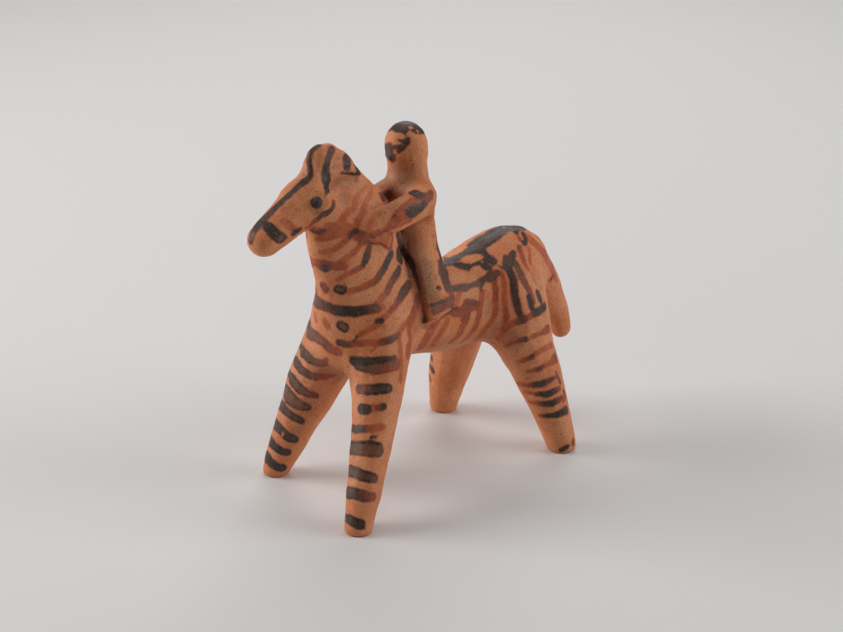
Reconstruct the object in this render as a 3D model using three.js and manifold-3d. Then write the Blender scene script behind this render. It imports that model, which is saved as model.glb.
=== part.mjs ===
// A hand-modelled terracotta horse with its rider, made and fired as one piece of clay.
// Millimetres, +Z up. The horse faces -Y and its left side is +X. The feet stand on z = 0.
// Every limb is a closed tube lofted through a few stations. The tubes are joined, and then the points
// of the joined skin are evened out and pressed, in rounds, onto a field that rounds the joins as
// fingers round wet clay. The feet are cut flat on the ground, and the eye pellets are added last.
import * as THREE from "three";
import { mergeVertices, toCreasedNormals } from "three/addons/utils/BufferGeometryUtils.js";
import Module from "manifold-3d";

const wasm = await Module();
wasm.setup();

// Colour and surface of the bare clay
const CLAY = { color: 0xb5714b, roughness: 0.72, metalness: 0 };

// Largest angle between neighbouring faces that is still shaded as one smooth surface
const CREASE_ANGLE = THREE.MathUtils.degToRad(50);

// How far a leg runs on below the ground before it is cut flat, so that the sole is a real face
const SOLE_DEPTH = 2;

// The block that cuts the feet flat: its sides, and how deep it reaches below the ground
const GROUND_SIDE = 400;
const GROUND_DEPTH = 20;

// Rings that round off each end of a limb
const CAP_RINGS = 4;

// Pieces of a limb's centre line that its field is measured from
const FIELD_PIECES = 24;

// Points of the joined skin that are closer than this are merged before it is pressed
const MERGE_WITHIN = 0.05;

// Rounds of evening out and pressing, and the share of the way to its neighbours that a point slides
const PRESS_ROUNDS = 6;
const EVENING = 0.5;

// A station is a point on a limb's centre line with the half sizes of the oval section there.
// across is the half width towards the horse's sides, deep the half width in the other direction.
const station = (x, y, z, across, deep) => ({ centre: new THREE.Vector3(x, y, z), across, deep });

// A station on the horse's middle plane
const middle = (y, z, across, deep) => station(0, y, z, across, deep);

const mirrored = (stations) =>
  stations.map((s) => station(-s.centre.x, s.centre.y, s.centre.z, s.across, s.deep));

// Barrel, from the chest to the rump
const BARREL = [
  middle(4, 51, 6.5, 8),
  middle(10.5, 50, 9.3, 11.5),
  middle(22, 49.5, 11, 13.5),
  middle(36, 48.3, 10.5, 12.8),
  middle(50, 46.6, 10.5, 13.6),
  middle(64, 47.9, 11.2, 14.9),
  middle(77, 50, 11.5, 15.3),
  middle(88, 47, 9, 11.3),
];

// Neck and crest: broad at the withers, pinched to a thin crest above the head
const NECK = [
  middle(20, 46, 9.4, 11.8),
  middle(19.4, 58, 9.5, 14.3),
  middle(17.6, 70, 8.8, 14.9),
  middle(13.5, 80, 7.9, 13.9),
  middle(10.5, 87, 5.8, 11.5),
  middle(8, 93, 3.5, 9.1),
  middle(5.2, 98.6, 3.1, 7),
  middle(3, 103.7, 2.4, 4.6),
];

// Head, from behind the cheeks down to the muzzle
const HEAD = [
  middle(6, 93.3, 5, 5.3),
  middle(2.5, 91.2, 6, 6.6),
  middle(-3, 88.4, 5.7, 6.5),
  middle(-9, 85.5, 5.1, 5.7),
  middle(-14.5, 82.7, 4.8, 4.9),
  middle(-19.6, 80, 4.3, 4.5),
];

// Raised edge at the back of the near cheek, from the temple down to the jaw
const CHEEK_EDGE = [
  station(4.7, -0.6, 93.8, 1, 1.2),
  station(5.6, 1, 92, 1.1, 1.4),
  station(6, 1.2, 89.6, 1.2, 1.5),
  station(5.7, -0.6, 87.3, 1.2, 1.4),
  station(4.8, -4, 85.2, 0.9, 1.2),
];

// Lower edge of the crest, which stands out over a hollow in the side of the neck
const CREST_EDGE = [
  station(2.7, 4.8, 95.6, 0.9, 1.1),
  station(3.1, 8.6, 96, 1, 1.3),
  station(2.8, 12.6, 95.5, 0.9, 1.2),
  station(1.9, 16.2, 94.6, 0.8, 1),
];

// Round pellets of clay pressed on as eyes
const EYE = { x: 5.7, y: -1.9, z: 90.8, radius: 1.6, height: 1.1, segmentsRound: 12, segmentsDown: 8 };

const TAIL = [
  middle(78.6, 54.4, 5.4, 6.1),
  middle(85.3, 52.6, 5.1, 6),
  middle(91, 46.6, 4.5, 5.5),
  middle(96.5, 37.2, 4, 4.6),
  middle(100.3, 30, 3.7, 3.7),
  middle(101.6, 23, 3.1, 3.1),
];

// A leg runs from a hip or shoulder inside the barrel to a blunt foot. It is round in section.
const joint = (x, y, z, radius) => station(x, y, z, radius, radius);
const FRONT_LEFT = [
  joint(5, 19.5, 56, 7),
  joint(8.8, 17.4, 45.5, 8.7),
  joint(12, 13.9, 36.1, 7.8),
  joint(15.1, 9.6, 26.3, 6.4),
  joint(18.6, 3.9, 15.7, 5.5),
  joint(21.6, -1.3, 5.8, 4.5),
  joint(23.7, -4.8, -SOLE_DEPTH, 3.7),
];
const FRONT_RIGHT = [
  joint(-5, 19, 55, 7),
  joint(-9, 16.4, 43, 8.6),
  joint(-13.4, 12.3, 29.2, 8.1),
  joint(-16.2, 9.2, 19.9, 6.6),
  joint(-19.3, 6.2, 9.9, 5.2),
  joint(-22, 3.9, 1.5, 4),
  joint(-22.8, 3.2, -SOLE_DEPTH, 3.7),
];
const HIND_LEFT = [
  joint(5, 70.5, 56, 8),
  joint(9, 70, 45, 10.2),
  joint(12.3, 71.6, 34.1, 8.9),
  joint(14.4, 73.6, 27.3, 7.7),
  joint(17.1, 75.3, 19.2, 6.8),
  joint(22.4, 77.2, 4.5, 4.8),
  joint(24.7, 77.6, -SOLE_DEPTH, 4),
];
const HIND_RIGHT = [
  joint(-5, 69, 56, 8),
  joint(-8.6, 68, 45, 10),
  joint(-12.7, 69.4, 33, 8.9),
  joint(-16.4, 70.4, 20.7, 7.2),
  joint(-19, 70.7, 12.6, 6.2),
  joint(-21.9, 72, 3.8, 4.7),
  joint(-23.4, 73, -SOLE_DEPTH, 4),
];

// Rider, from the seat up through the neckless head
const TORSO = [
  middle(43.5, 54, 6.5, 6),
  middle(41.8, 62, 6.7, 4.9),
  middle(39.2, 71, 6.3, 4.5),
  middle(37.7, 78.5, 7, 5.7),
  middle(36.1, 84.5, 7.4, 6.6),
  middle(36.4, 89.5, 6.2, 5.6),
  middle(36.2, 93.5, 5.9, 5.7),
  middle(35.9, 98, 6.2, 6.4),
  middle(34.2, 104.7, 5, 5.2),
];

// Both arms reach forward and take hold of the neck
const NEAR_ARM = [
  station(4.6, 38.4, 84.2, 3.8, 5),
  station(8, 34.2, 83.7, 3.7, 4.8),
  station(9.7, 28, 83.3, 3.3, 4.6),
  station(9.3, 19.5, 81.5, 2.7, 4.4),
  station(7.4, 12, 79.2, 1.8, 3.4),
];
const FAR_ARM = [
  station(-4.6, 38.5, 83.4, 3.6, 4.4),
  station(-8, 33.4, 81.6, 3.2, 4),
  station(-9.2, 27.5, 80.5, 3, 3.8),
  station(-8.8, 20, 80, 2.5, 3.7),
  station(-7, 13, 78.6, 1.8, 3.1),
];

// Clay pushed across from the rider's chest to the back of the neck, over the gap between the arms
const BRIDGE = [
  station(-2.2, 21, 85.6, 2.2, 1.5),
  station(-2.2, 25.2, 85.9, 2.4, 1.5),
  station(-2.2, 31, 87.2, 2.6, 1.8),
];

// Scrap of clay left on the neck below the near hand
const FLAP = [
  station(8.1, 14.5, 78.2, 0.9, 1.5),
  station(8.9, 17.8, 76.8, 1.1, 2.2),
  station(9.1, 21.4, 75.6, 1, 2.4),
];

// A leg lies flat on the flank from the hip and tapers to a smeared foot
const RIDER_LEG = [
  station(2.6, 38.4, 77, 3.4, 4.4),
  station(4.6, 37.8, 71.5, 3.2, 5),
  station(6.8, 36.9, 66.5, 3.2, 5.5),
  station(9, 37, 60, 2.9, 5.5),
  station(10.7, 36.3, 54.5, 2.5, 4.9),
  station(11.7, 34, 49.4, 1.9, 3),
];

// Every limb with the width over which its join is rounded
function limbs() {
  const make = (stations, blend, sides, rings, startCap, endCap) => ({
    stations,
    blend,
    sides,
    rings,
    startCap,
    endCap,
  });
  const legs = [FRONT_LEFT, FRONT_RIGHT, HIND_LEFT, HIND_RIGHT];
  return [
    make(BARREL, 0, 24, 18, 6, 8),
    make(NECK, 5, 24, 18, 2, 5),
    ...legs.map((leg) => make(leg, 6, 14, 14, 4, 3)),
    make(TAIL, 4, 12, 11, 3, 3.4),
    make(HEAD, 2.5, 18, 12, 4, 4.5),
    make(CHEEK_EDGE, 1.2, 8, 8, 1, 1),
    make(mirrored(CHEEK_EDGE), 1.2, 8, 8, 1, 1),
    make(CREST_EDGE, 2.2, 8, 8, 1, 1),
    make(mirrored(CREST_EDGE), 2.2, 8, 8, 1, 1),
    make(TORSO, 2.5, 16, 17, 3, 6.5),
    make(NEAR_ARM, 3, 12, 9, 2, 2),
    make(FAR_ARM, 3, 12, 9, 2, 2),
    make(BRIDGE, 2, 8, 4, 1, 1),
    make(FLAP, 0.6, 10, 5, 0.8, 0.6),
    make(RIDER_LEG, 2, 12, 9, 2, 2),
    make(mirrored(RIDER_LEG), 2, 12, 9, 2, 2),
  ];
}

// The limb's section at a distance along its centre line: place, directions and half sizes
function sectionFinder({ stations }) {
  const centreLine = new THREE.CatmullRomCurve3(stations.map((s) => s.centre), false, "catmullrom");
  const sizes = new THREE.CatmullRomCurve3(
    stations.map((s) => new THREE.Vector3(s.across, s.deep, 0)),
    false,
    "catmullrom",
  );
  const length = centreLine.getLength();
  const sectionAt = (distance) => {
    const t = centreLine.getUtoTmapping(distance / length);
    const along = centreLine.getTangent(t);
    const side = new THREE.Vector3(1, 0, 0).addScaledVector(along, -along.x).normalize();
    const { x: across, y: deep } = sizes.getPoint(t);
    return {
      centre: centreLine.getPoint(t),
      along,
      side,
      normal: new THREE.Vector3().crossVectors(along, side),
      across,
      deep,
    };
  };
  return { length, sectionAt };
}

// A closed tube through the limb's stations. A cap is the length over which an end is rounded off.
function loft(limb) {
  const { sides, rings, startCap, endCap } = limb;
  const { length, sectionAt } = sectionFinder(limb);
  const cuts = [];
  for (let i = 0; i < CAP_RINGS; i++) {
    const angle = (i / CAP_RINGS) * (Math.PI / 2);
    cuts.push({ at: startCap * (1 - Math.cos(angle)), scale: Math.sin(angle) });
  }
  for (let i = 0; i <= rings; i++) {
    cuts.push({ at: startCap + ((length - startCap - endCap) * i) / rings, scale: 1 });
  }
  for (let i = CAP_RINGS - 1; i >= 0; i--) {
    const angle = (i / CAP_RINGS) * (Math.PI / 2);
    cuts.push({ at: length - endCap * (1 - Math.cos(angle)), scale: Math.sin(angle) });
  }
  const positions = [];
  const faces = [];
  cuts.forEach(({ at, scale }, ring) => {
    const { centre, side, normal, across, deep } = sectionAt(at);
    for (let i = 0; i < sides; i++) {
      const angle = (2 * Math.PI * i) / sides;
      const point = centre
        .clone()
        .addScaledVector(side, across * scale * Math.cos(angle))
        .addScaledVector(normal, deep * scale * Math.sin(angle));
      positions.push(...point.toArray());
      if (ring > 0) {
        const a = (ring - 1) * sides + i;
        const b = (ring - 1) * sides + ((i + 1) % sides);
        faces.push(a, b, b + sides, a, b + sides, a + sides);
      }
    }
  });
  const geometry = new THREE.BufferGeometry();
  geometry.setAttribute("position", new THREE.Float32BufferAttribute(positions, 3));
  geometry.setIndex(faces);
  return geometry;
}

// The limb's clay as a field: below zero inside, and near the skin about the distance to it
function limbField(limb) {
  const { length, sectionAt } = sectionFinder(limb);
  const from = limb.startCap;
  const span = length - limb.startCap - limb.endCap;
  const sections = Array.from({ length: FIELD_PIECES + 1 }, (_, i) =>
    sectionAt(from + (span * i) / FIELD_PIECES),
  );
  const chord = new THREE.Vector3();
  const offset = new THREE.Vector3();
  return (point) => {
    let best = Infinity;
    let nearest = 0;
    let share = 0;
    for (let i = 0; i < FIELD_PIECES; i++) {
      chord.subVectors(sections[i + 1].centre, sections[i].centre);
      offset.subVectors(point, sections[i].centre);
      const t = THREE.MathUtils.clamp(offset.dot(chord) / chord.lengthSq(), 0, 1);
      const distance = offset.addScaledVector(chord, -t).lengthSq();
      if (distance < best) [best, nearest, share] = [distance, i, t];
    }
    const a = sections[nearest];
    const b = sections[nearest + 1];
    const blendOf = (key) => THREE.MathUtils.lerp(a[key], b[key], share);
    const directionOf = (key) => a[key].clone().lerp(b[key], share).normalize();
    offset.subVectors(point, a.centre.clone().lerp(b.centre, share));
    const cap = nearest + share < FIELD_PIECES / 2 ? limb.startCap : limb.endCap;
    const scaled = [
      [offset.dot(directionOf("side")), blendOf("across")],
      [offset.dot(directionOf("normal")), blendOf("deep")],
      [offset.dot(directionOf("along")), cap],
    ];
    const reach = Math.hypot(...scaled.map(([d, r]) => d / r));
    const slope = Math.hypot(...scaled.map(([d, r]) => d / (r * r)));
    return slope > 1e-9 ? (reach * (reach - 1)) / slope : -Math.min(blendOf("across"), blendOf("deep"));
  };
}

// The lower of two fields, rounded where they are within the blend width of each other
function roundedJoin(a, b, blend) {
  if (blend <= 0) return Math.min(a, b);
  const overlap = Math.max(blend - Math.abs(a - b), 0) / blend;
  return Math.min(a, b) - (overlap * overlap * blend) / 4;
}

function figureField(parts) {
  const fields = parts.map((limb) => ({ field: limbField(limb), blend: limb.blend }));
  return (point) =>
    fields.reduce((all, { field, blend }) => roundedJoin(all, field(point), blend), 1e3);
}

// Moves every point of the skin onto the zero of the field, along the field's slope
function pressOnto(positions, field) {
  const passes = 5;
  const step = 0.05;
  const point = new THREE.Vector3();
  const slope = new THREE.Vector3();
  const probe = new THREE.Vector3();
  for (let i = 0; i < positions.length; i += 3) {
    point.fromArray(positions, i);
    for (let pass = 0; pass < passes; pass++) {
      const value = field(point);
      if (Math.abs(value) < 1e-3) break;
      for (const axis of ["x", "y", "z"]) {
        probe.copy(point)[axis] += step;
        slope[axis] = (field(probe) - value) / step;
      }
      point.addScaledVector(slope, -value / Math.max(slope.lengthSq(), 0.3));
    }
    point.toArray(positions, i);
  }
}

// Slides every point towards the middle of its neighbours, which evens out the triangles at the joins
function evenOut(geometry, share) {
  const positions = geometry.attributes.position.array;
  const index = geometry.index.array;
  const sums = new Float64Array(positions.length);
  const counts = new Uint16Array(positions.length / 3);
  for (let i = 0; i < index.length; i += 3) {
    for (let corner = 0; corner < 3; corner++) {
      const from = index[i + corner];
      const to = index[i + ((corner + 1) % 3)];
      counts[from] += 1;
      for (let axis = 0; axis < 3; axis++) sums[3 * from + axis] += positions[3 * to + axis];
    }
  }
  for (let i = 0; i < positions.length; i++) {
    const goal = sums[i] / counts[Math.floor(i / 3)];
    positions[i] += (goal - positions[i]) * share;
  }
}

// A closed geometry as a solid, with its shared vertices merged
function solidOf(geometry) {
  const bare = geometry.clone();
  bare.deleteAttribute("normal");
  bare.deleteAttribute("uv");
  const merged = mergeVertices(bare, 1e-4);
  const index = merged.index.array;
  const kept = [];
  for (let i = 0; i < index.length; i += 3) {
    const [a, b, c] = [index[i], index[i + 1], index[i + 2]];
    if (a !== b && b !== c && c !== a) kept.push(a, b, c);
  }
  return new wasm.Manifold(
    new wasm.Mesh({
      numProp: 3,
      vertProperties: merged.attributes.position.array,
      triVerts: new Uint32Array(kept),
    }),
  );
}

function geometryOf(solid) {
  const mesh = solid.getMesh();
  const geometry = new THREE.BufferGeometry();
  geometry.setAttribute("position", new THREE.Float32BufferAttribute(mesh.vertProperties, 3));
  geometry.setIndex([...mesh.triVerts]);
  return geometry;
}

function eyePellet(side) {
  return new THREE.SphereGeometry(EYE.radius, EYE.segmentsRound, EYE.segmentsDown)
    .scale(EYE.height / EYE.radius, 1, 1)
    .translate(side * EYE.x, EYE.y, EYE.z);
}

function clayFigure() {
  const parts = limbs();
  const joined = parts.map((limb) => solidOf(loft(limb))).reduce((all, piece) => all.add(piece));
  const skin = mergeVertices(geometryOf(joined), MERGE_WITHIN);
  const field = figureField(parts);
  for (let round = 0; round < PRESS_ROUNDS; round++) {
    evenOut(skin, EVENING);
    pressOnto(skin.attributes.position.array, field);
  }
  const ground = new THREE.BoxGeometry(GROUND_SIDE, GROUND_SIDE, GROUND_DEPTH);
  ground.translate(0, 0, -GROUND_DEPTH / 2);
  return [1, -1].reduce(
    (all, side) => all.add(solidOf(eyePellet(side))),
    solidOf(skin).subtract(solidOf(ground)),
  );
}

const figure = new THREE.Mesh(
  toCreasedNormals(geometryOf(clayFigure()), CREASE_ANGLE),
  new THREE.MeshStandardMaterial(CLAY),
);
figure.name = "horse_and_rider";
figure.geometry.computeBoundingBox();
const middleOfBox = figure.geometry.boundingBox.getCenter(new THREE.Vector3());
figure.position.set(-middleOfBox.x, -middleOfBox.y, 0);

const root = new THREE.Group();
root.add(figure);
export default root;
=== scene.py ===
"""Dresses the packed clay horse and rider: hand-modelled clay, brushed slip, a pale floor and studio light."""

import math
from collections import namedtuple

import bpy
import numpy as np
from mathutils import Matrix, Vector, noise
from mathutils.bvhtree import BVHTree


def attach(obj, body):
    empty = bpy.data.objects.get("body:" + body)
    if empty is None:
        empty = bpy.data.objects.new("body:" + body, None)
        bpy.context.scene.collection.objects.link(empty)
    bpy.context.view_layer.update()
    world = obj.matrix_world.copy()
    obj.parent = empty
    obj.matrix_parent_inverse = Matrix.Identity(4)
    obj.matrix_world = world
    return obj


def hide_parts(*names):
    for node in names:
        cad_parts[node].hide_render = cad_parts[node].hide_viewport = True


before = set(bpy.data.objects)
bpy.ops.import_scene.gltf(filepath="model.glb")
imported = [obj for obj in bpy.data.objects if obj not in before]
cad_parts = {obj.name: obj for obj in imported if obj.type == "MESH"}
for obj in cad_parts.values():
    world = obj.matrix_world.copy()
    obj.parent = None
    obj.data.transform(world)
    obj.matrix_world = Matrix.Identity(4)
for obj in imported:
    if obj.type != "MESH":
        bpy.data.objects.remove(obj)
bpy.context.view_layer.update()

# Lengths are in millimetres, and are turned into metres where they reach Blender
MM = 0.001
NODE = "horse_and_rider"

# The photograph's frame in pixels, and the camera that took it, in the row frame
PHOTO_WIDTH = 843
PHOTO_HEIGHT = 632
SENSOR_WIDTH = 36
LENS = 85
FOCAL_PIXELS = LENS / SENSOR_WIDTH * PHOTO_WIDTH
CAMERA_AZIMUTH = 46.943
CAMERA_ELEVATION = 21
CAMERA_PLACE = (393.23, -368.27, 252.37)

# How finely the clay is meshed, and how it is softened: steps out and back keep its volume
VOXEL = 0.55
SOFTEN_ROUNDS = 16
TOUCH_UP_ROUNDS = 4
SOFTEN_OUT = 0.5
SOFTEN_BACK = -0.52

# Strokes are sampled this often, in pixels, and reach this far past their edge, in mm
STROKE_STEP = 1.2
EDGE_REACH = 1.8
FAR_OUTSIDE = 4.0

# How far off the skin a ray to the camera starts, in mm, and how squarely the skin has to face the camera
CLEARANCE = 0.3
SEEN_SLANT = 0.08

# A track breaks where it jumps further than this, in mm, and takes no skin that faces away from it
TRACK_JUMP = 3.5
FACING_LIMIT = 0.1

# How much wider than in the picture a stroke may be where the skin slants away from the camera
SLANT_LIMIT = 1.7

# How far the far side's strokes are moved, in pixels, and how much wider than drawn a soft tint fades out
FAR_SIDE_SHIFT = 2.2
TINT_FADE = 1.4

# Degrees between the places on a bar that runs on round a leg
WRAP_STEP = 6

# A brush stroke by its pixels in the photograph. Width is in pixels; tone runs from 0, bare, over 0.3, red,
# to 1, black. Both may list several values, spread evenly along it. Pool 1 has a dark rim and a paler middle.
Stroke = namedtuple("Stroke", "name width tone points pool", defaults=(0.0,))
Patch = namedtuple("Patch", "name tone points pool", defaults=(0.2,))
Groove = namedtuple("Groove", "name width depth points")
# A soft tint along a line of pixels, laid for the painted shade with grime and for the pale bloom with painted
# light
SoftTint = namedtuple("SoftTint", "name width strength points")

# The gap between the rider and the horse's neck, which is both pressed deep and darkened with painted shade
RIDER_GAP = [
    (398, 235), (401.5, 246), (405.5, 254.5), (410.5, 262), (414.5, 272), (418.5, 285.5), (421.5, 299),
    (424, 312.5), (425.5, 322)]

HEAD_MIDDLE = [
    Stroke("nose ridge", (6, 6, 6.5, 7.5, 6, 6, 6.5, 8, 8, 6), (
        0.9, 0.85, 0.8, 0.95, 0.85, 0.85, 0.8, 0.9, 0.7), [
        (318, 145),(311.5, 150.5), (308.3, 158), (309.3, 167), (309.8, 175), (306.5, 180), (299, 186),
        (290, 193.7), (281, 201.8), (272, 210), (264.5, 218), (257.5, 226), (252.3, 234), (250.6, 241)]),
]

HEAD_SIDE = [
    Stroke("cheek stripe", (8, 7, 7, 8, 9.5, 9.5, 6, 3), (0.75, 0.78, 0.8, 0.88, 1, 1, 1, 0.95), [
        (332.5, 149), (330, 155), (327.5, 162), (326, 170), (326, 178), (326.3, 184), (326.5, 190), (326.2, 194)]),
    Stroke("jaw stripe", (5, 8, 7.5, 6.5, 5.5, 4), (0.5, 0.82, 0.88, 0.76, 0.5, 0.4), [
        (333, 203), (331, 207.5), (325.5, 212.5), (319.5, 218), (313, 223), (307.5, 227)]),
    Stroke("jaw dab", (6.5, 4), 0.92, [(294.5, 233), (297.3, 231.2), (299.8, 229.7)]),
    Stroke("jaw smear", (6, 9, 7), (0.22, 0.3, 0.4), [(283, 220.8), (289, 225.5), (295, 230)]),
    Stroke("crest dab", (3.5, 5), 0.85, [(356, 166.5), (359.5, 172.5)]),
    Stroke("crest line", 2.6, 1, [(341.5, 173), (351, 173.6), (359.2, 173.9)]),
    Stroke("eye", 13.5, 1, [(318, 203.3), (318.4, 203.3)]),
]

HEAD_PATCHES = [
    Patch("noseband", 1.0, [
        (262, 228.5), (263, 220.5), (268.2, 221.5), (274, 224.6), (279.6, 230), (282.5, 232.3),
        (275, 241.7), (268.2, 236), (264.5, 231)], 0),
    Patch("noseband end", 0.85, [
        (280.5, 231), (285.3, 234), (287.2, 237.3), (284.4, 241.5), (280.5, 243.8), (277, 243.7),
        (273.2, 240)], 1.3),
    Patch("crest patch", 0.9, [
        (343, 155.5), (346.7, 153), (351, 159), (350.5, 170), (347, 172), (344, 170.5), (342.8, 163)]),
]

NECK = [
    Stroke("throat tick", 3.5, 0.7, [(312, 230.5), (318, 232.3), (324, 230.5)]),
    Stroke("throat smear", (6, 8, 6), (0.28, 0.35, 0.28), [(310, 228), (318, 231), (328, 229)]),
    Stroke("neck stripe 1", (4, 5.5, 7, 8), (0.15, 0.25, 0.3, 0.3), [
        (366, 187), (360, 193), (356, 199), (354, 207), (347, 213), (343, 219), (340, 223)]),
    Stroke("neck stripe 2", (4.5, 6.5, 7), (0.2, 0.32, 0.3), [
        (371.5, 191), (368, 199), (364, 207), (361, 214), (358, 221), (356, 225)]),
    Stroke("neck stripe under the hand", 6, (0.15, 0.25), [(379, 213), (373, 219), (370, 224), (369, 229)]),
    Stroke("neck band 2", (6.5, 6, 4.5), (0.36, 0.3, 0.2), [
        (348, 239), (342, 244), (335, 249), (328, 252), (320, 252)]),
    Stroke("neck band 3", (6, 6.5, 7), (0.34, 0.3, 0.36), [
        (360, 245), (356, 250), (350, 255.5), (344, 260), (338, 264), (332, 266.5)]),
    Stroke("throat band", (7, 9, 9), (0.35, 0.45, 0.4), [(312.5, 262), (322, 264), (334, 266), (344, 266.5)]),
    Stroke("throat band dark", (4, 8.5, 4), (0.5, 0.88, 0.5), [(319, 267), (324.5, 268.2), (330.5, 268)]),
    Stroke("neck stripe 3", (4.5, 6.5, 7.5, 6.5), (0.6, 0.75, 0.85), [
        (370, 243), (368, 252), (366, 259), (364, 262.5)]),
    Stroke("neck stripe 3 tail", (6, 6, 5.5, 4.5), (0.42, 0.34, 0.3), [
        (363, 265.5), (356, 270), (350, 273), (343, 277), (337, 280)]),
    Stroke("neck stripe 4", (6, 7, 7), (0.85, 0.8, 0.6), [
        (391, 254.5), (388, 260), (384, 268), (380, 275), (377, 279)]),
    Stroke("neck stripe 4 tail", (7, 7, 6), (0.45, 0.35, 0.3), [
        (376, 280.5), (370, 284), (364, 287), (356, 290), (348, 292)]),
    # Slip outline round the clay flap, with its crease darkened as painted shade
    Stroke("flap line", 1.4, 0.75, [
        (370, 237), (376, 236), (383, 232.5), (390, 231.3), (392, 236.5), (391.5, 245), (388.5, 248.7),
        (384.5, 246), (379.5, 243.2), (372, 243.5)]),
    Stroke("neck stripe 5", (6.5, 6.5), (0.85, 0.6, 0.5), [(399, 270.5), (391.7, 281.7), (387.5, 291.7)]),
    Stroke("neck stripe 5 tail", 6.5, 0.34, [(386.5, 293), (380, 300), (374, 307)]),
    Stroke("neck stripe 6", (7.5, 7.5, 6.5), (0.75, 0.8, 0.5), [(408.6, 284), (402.5, 293.3), (396.7, 303.3)]),
    Stroke("neck stripe 6 tail", (6.5, 6.5, 6, 5), (0.4, 0.33, 0.35), [
        (395, 306), (390, 311.7), (381.7, 320), (371.7, 328.3), (356.7, 336.7)]),
    Stroke("shoulder spot", 6, 0.9, [(377.5, 321), (381.5, 320.5)]),
    Stroke("mane dab", (5, 8, 5), 0.9, [(398.3, 250), (399.3, 255), (401.5, 261)]),
    # Painted shade: near-black slip laid along the deep gap between the rider and the neck
    Stroke("gap", (5, 6, 6.5, 6.5, 4.5, 3, 2.4, 3, 3), (0.7, 0.8, 0.9, 0.95, 0.8, 0.6, 0.7, 0.95), RIDER_GAP),
]

NECK_PATCHES = [
    Patch("neck band 1", 0.3, [
        (324, 223), (335, 222), (343, 222), (350, 223.5), (354, 227), (350, 232), (347, 236.5), (340, 237.5),
        (335, 239), (329, 241), (322, 242), (315, 241), (314, 237), (320, 235), (324, 231)]),
    Patch("neck knot", 0.75, [
        (347, 236.5), (349.5, 231.5), (354, 227.5), (358.5, 227), (360.5, 230.5), (358, 234), (354, 235),
        (352, 237.5), (348.5, 238.5)]),
    Patch("neck knot end", 0.45, [
        (353.5, 235.5), (360, 230), (367, 231.5), (372, 234), (371, 240), (367, 245), (361, 246),
        (356.5, 242.5), (353.5, 239)]),
    Patch("flap", 0.26, [
        (371, 237), (383, 233), (390, 231.8), (392, 238), (391, 245), (388.5, 248.5), (384, 246), (372, 243)]),
]

CHEST = [
    Stroke("upper oval 1", 4, 0.4, [(315.6, 286), (316.2, 291)], 1),
    Stroke("upper oval 2", 6.5, 0.55, [(323.2, 285.8), (325.4, 289.3)], 1.3),
    Stroke("upper oval 3", 9, 0.88, [(338.3, 289.6), (342.5, 289.8)], 1.4),
    Stroke("lower oval 1", 4, 0.25, [(314.6, 314.5), (316, 320.5)], 1),
    Stroke("lower oval 2", 6, 0.3, [(325, 321.5), (327.3, 325.8)], 1.3),
    Stroke("lower oval 3", 10.5, 0.8, [(341.5, 325.8), (344, 327.3)], 1.4),
    Stroke("chest band", (9, 10.5, 11.5, 10), (0.7, 0.75, 0.95, 0.9, 0.6), [
        (315.5, 301), (330, 308), (345, 311.5), (360, 311), (377, 308.2)]),
    Stroke("chest band end", (9, 7), (0.4, 0.3), [(376, 308), (383, 307)]),
]

FRONT_LEFT_LEG = [
    Stroke("shoulder stripe", (8, 7, 8), (0.5, 0.36, 0.36), [
        (417.5, 297), (416, 305), (413.6, 314.3), (409.3, 327), (410.7, 340), (409.3, 353)]),
    Stroke("shoulder stripe 2", (5, 4.5, 4), (0.38, 0.32, 0.32), [
        (411, 318), (402, 328), (399.3, 336), (400.7, 350), (401.5, 366), (400.7, 381)]),
    Stroke("leg top band", (7.5, 7, 8, 8, 6), (0.8, 0.6, 0.33, 0.36, 0.8, 0.5), [
        (339, 342.3), (347, 344.6), (357.9, 343.3), (376.4, 342.9), (389.3, 340), (399.3, 334.3)]),
    Stroke("leg slash", 2.2, 0.95, [(353.5, 340.3), (357.5, 336.8)]),
    Stroke("leg tick", 3, 0.35, [(371, 351.5), (375.5, 347.5)]),
    Stroke("leg bar 1 upper", (10, 9, 7, 6), (0.95, 0.95, 0.9, 0.7), [
        (354, 361), (363, 361.5), (378, 360.5), (395, 358)]),
    Stroke("leg bar 1 lower", (9, 13, 12), (0.9, 0.62, 0.5, 0.42), [
        (358, 366.5), (373, 368.5), (387, 367), (397, 364)], 0.5),
    Stroke("leg bar 2", (10, 11.5, 11.5, 10), (0.6, 0.65, 1, 1, 0.9), [
        (359, 389), (368, 389.8), (380, 388.8), (388.5, 388.2)], 0.5),
    Stroke("leg bar 3", 11, (0.85, 0.98, 0.85), [(361, 409), (367, 409.3)]),
    Stroke("leg bar 3 smear", 8, 0.33, [(372, 408.6), (380, 407.5)]),
    Stroke("leg bar 3 end", (6, 8), (0.5, 0.85), [(378, 407.6), (383.5, 407)]),
    # Painted shade: a black dot in the pit on the front leg
    Stroke("leg fleck", 3.2, 1, [(371.5, 437.3), (376, 437)]),
]

# The lower bars of the front left leg, which run on round it
FRONT_LEFT_SHIN = [
    Stroke("leg bar 4", (9, 8.5, 8, 7), (0.85, 0.85, 0.45, 0.3, 0.28), [
        (355.5, 429.5), (361, 429), (372, 428.5), (383, 427)]),
    Stroke("leg bar 5", (14, 15.5, 15.5), (0.72, 0.68, 0.68), [(352, 448), (364, 449), (377, 450)], 0.8),
    Stroke("leg bar 5 rim", 3.5, 0.95, [(351, 443), (362, 442), (372, 442), (380.5, 444)]),
    Stroke("leg bar 6", (12, 12, 10), (0.75, 0.75, 1, 0.7), [
        (350, 471), (360, 474.5), (369, 477.5), (374, 478.5)], 0.8),
    Stroke("leg bar 7", (12.5, 12, 10), (0.9, 0.85, 0.6, 0.5), [
        (349, 493), (358, 494.5), (366, 496.5), (373, 497)], 0.5),
]

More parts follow.
